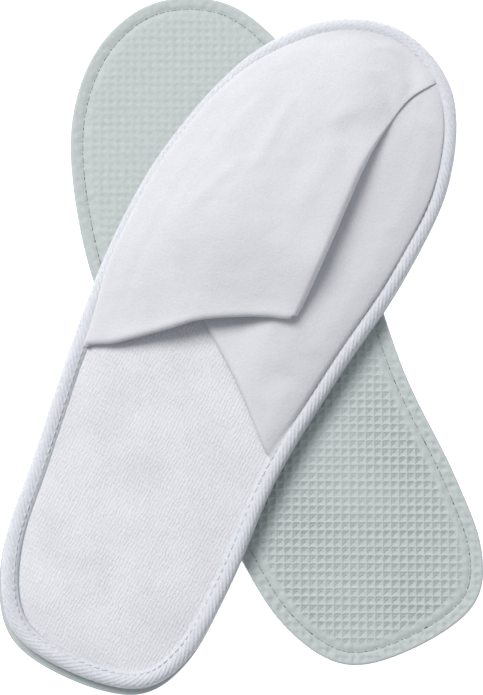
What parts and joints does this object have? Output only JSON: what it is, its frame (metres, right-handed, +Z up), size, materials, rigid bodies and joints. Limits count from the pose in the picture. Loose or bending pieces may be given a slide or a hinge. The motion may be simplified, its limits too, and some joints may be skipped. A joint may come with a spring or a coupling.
{
  "type": "spa slippers",
  "caption": "Closed-toe towelling spa slippers with foamed waffle soles, stored crossed sole on sole; the upper one lifts off and its soft upper opens for a foot.",
  "frame": {"origin": "on the surface that the pair lies on, under the middle of the crossed pair", "axes": "+Z up; +Y towards the toes, midway between the crossed slippers' directions; +X to the right, towards the left slipper's toe"},
  "size_m": [0.1913, 0.2812, 0.0501],
  "materials": {
    "eva_foam": "matte, fine waffle pattern pressed into the walking face",
    "sponge": "open-cell foam, matte",
    "terry": "short terry with fine lengthwise ribs",
    "velour": "soft brushed velour",
    "lining_cloth": "plain knitted cloth",
    "twill_tape": "diagonal twill ribs",
    "white_thread": "twisted sewing thread",
    "grey_thread": "twisted sewing thread, sunk and shaded"
  },
  "bodies": {
    "right_slipper": {"right_outsole": "eva_foam", "right_sponge_pad": "sponge", "right_insole_cover": "terry", "right_binding": "twill_tape", "right_sole_seam": "grey_thread", "right_binding_seam": "white_thread", "right_upper_velour": "velour", "right_upper_sponge": "sponge", "right_upper_lining": "lining_cloth", "right_throat_hem": "velour"},
    "left_slipper": {"left_outsole": "eva_foam", "left_sponge_pad": "sponge", "left_insole_cover": "terry", "left_binding": "twill_tape", "left_sole_seam": "grey_thread", "left_binding_seam": "white_thread"},
    "left_upper": {"left_upper_velour": "velour", "left_upper_sponge": "sponge", "left_upper_lining": "lining_cloth", "left_throat_hem": "velour"}
  },
  "joints": [
    {"name": "left_lift", "type": "slide", "parent": "right_slipper", "child": "left_slipper", "axis": [0, 0, 1], "range_m": [0, 0.1]},
    {"name": "left_upper_open", "type": "hinge", "parent": "left_slipper", "child": "left_upper", "pos_m": [0.062, 0.11825, 0.02484], "axis": [-0.8819, 0.4668, -0.0658], "range_deg": [0, 15]}
  ]
}
